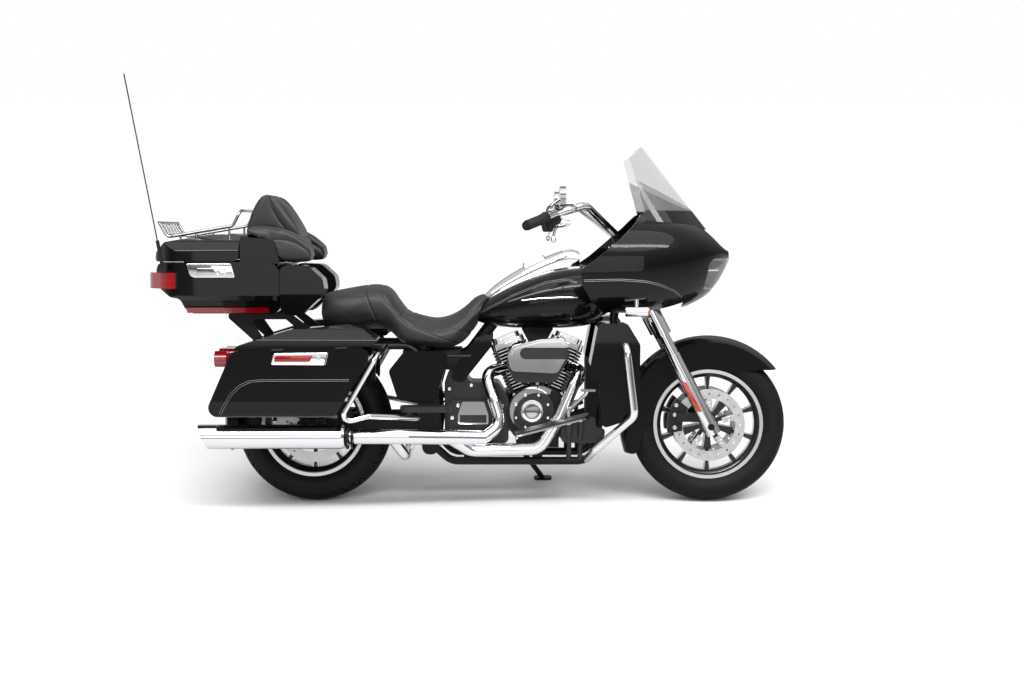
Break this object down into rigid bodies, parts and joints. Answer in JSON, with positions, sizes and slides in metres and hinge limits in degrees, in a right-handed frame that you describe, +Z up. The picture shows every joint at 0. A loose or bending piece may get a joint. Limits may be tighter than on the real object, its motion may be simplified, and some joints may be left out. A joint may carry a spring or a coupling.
{
  "type": "touring cruiser motorcycle",
  "caption": "Touring cruiser motorcycle with fairing, hard saddlebags and top box, leaning on its side stand.",
  "frame": {"origin": "bottom centre of the parked bike's bounding box, on the ground", "axes": "+X towards the front wheel, +Y to the rider's left, +Z up; the bike leans 8 degrees to its left"},
  "size_m": [2.6434, 1.0216, 1.7548],
  "materials": {
    "amber_lamp": "gloss",
    "body_paint": "gloss",
    "cast_wheel": "satin",
    "chrome": "polished",
    "clear": "clear",
    "engine_black": "satin",
    "frame_paint": "satin",
    "headlamp": "gloss",
    "leather": "grained",
    "plastic": "textured",
    "red_lamp": "gloss",
    "rubber": "matte",
    "steel": "brushed",
    "tyre": "matte"
  },
  "bodies": {
    "chassis": {"air_cleaner": "chrome", "antenna": "plastic", "backrest": "leather", "bag_guards": "chrome", "battery_and_cooler": "plastic", "cam_cover": "chrome", "crankcase": "engine_black", "cylinders": "engine_black", "dash": "plastic", "drive_belt": "rubber", "engine_guard": "chrome", "exhaust_pipes": "chrome", "fairing": "body_paint", "floorboards": "rubber", "foot_controls": "chrome", "frame": "frame_paint", "front_signals": "amber_lamp", "fuel_tank": "body_paint", "headlamp_lens": "clear", "headlamps": "headlamp", "leg_fairings": "body_paint", "mufflers": "chrome", "primary_cover": "chrome", "rear_caliper": "steel", "rear_fender": "body_paint", "rear_lamps": "red_lamp", "rear_shocks": "plastic", "rocker_covers": "chrome", "saddlebag_left": "body_paint", "saddlebag_right": "body_paint", "seat": "leather", "side_covers": "body_paint", "speaker_pods": "body_paint", "swingarm": "frame_paint", "tank_console": "plastic", "top_box": "body_paint", "top_box_support": "frame_paint", "transmission": "engine_black", "windscreen": "clear"},
    "steering": {"fork_legs": "chrome", "fork_yokes": "frame_paint", "handlebar": "chrome", "grips": "rubber", "hand_controls": "chrome", "mirrors": "chrome", "front_fender": "body_paint", "front_calipers": "steel"},
    "front_wheel": {"front_tyre": "tyre", "front_wheel": "cast_wheel", "front_discs": "steel"},
    "rear_wheel": {"rear_tyre": "tyre", "rear_wheel": "cast_wheel", "rear_disc_and_pulley": "steel"},
    "side_stand": {"side_stand": "frame_paint"},
    "bag_lid_left": {"bag_lid_left": "body_paint"},
    "bag_lid_right": {"bag_lid_right": "body_paint"},
    "top_box_lid": {"top_box_lid": "body_paint", "luggage_rack": "chrome"},
    "fuel_door": {"fuel_door": "chrome"}
  },
  "joints": [
    {"name": "steering", "type": "hinge", "parent": "chassis", "child": "steering", "pos_m": [0.71568, -0.02068, 0.92683], "axis": [-0.4384, 0.1251, 0.89], "range_deg": [-30, 30]},
    {"name": "front_wheel_turn", "type": "hinge", "parent": "steering", "child": "front_wheel", "pos_m": [1.00171, -0.10627, 0.31781], "axis": [0, 0.9903, -0.1392], "continuous": true},
    {"name": "rear_wheel_turn", "type": "hinge", "parent": "chassis", "child": "rear_wheel", "pos_m": [-0.62329, -0.10627, 0.31781], "axis": [0, 0.9903, -0.1392], "continuous": true},
    {"name": "side_stand_fold", "type": "hinge", "parent": "chassis", "child": "side_stand", "pos_m": [0.23671, 0.00932, 0.17029], "axis": [-0.2791, 0.9592, -0.0453], "range_deg": [0, 115]},
    {"name": "bag_lid_left_hinge", "type": "hinge", "parent": "chassis", "child": "bag_lid_left", "pos_m": [-0.89354, 0.36934, 0.58352], "axis": [-0.9996, -0.0041, -0.0295], "range_deg": [0, 92]},
    {"name": "bag_lid_right_hinge", "type": "hinge", "parent": "chassis", "child": "bag_lid_right", "pos_m": [-0.89354, -0.49022, 0.70433], "axis": [0.9996, 0.0041, 0.0295], "range_deg": [0, 92]},
    {"name": "top_box_lid_hinge", "type": "hinge", "parent": "chassis", "child": "top_box_lid", "pos_m": [-1.23529, 0.29027, 0.94068], "axis": [-1, 0, 0], "range_deg": [0, 78]},
    {"name": "fuel_door_hinge", "type": "hinge", "parent": "chassis", "child": "fuel_door", "pos_m": [0.32181, -0.00947, 1.00658], "axis": [0, 0.9903, -0.1392], "range_deg": [0, 75]}
  ]
}
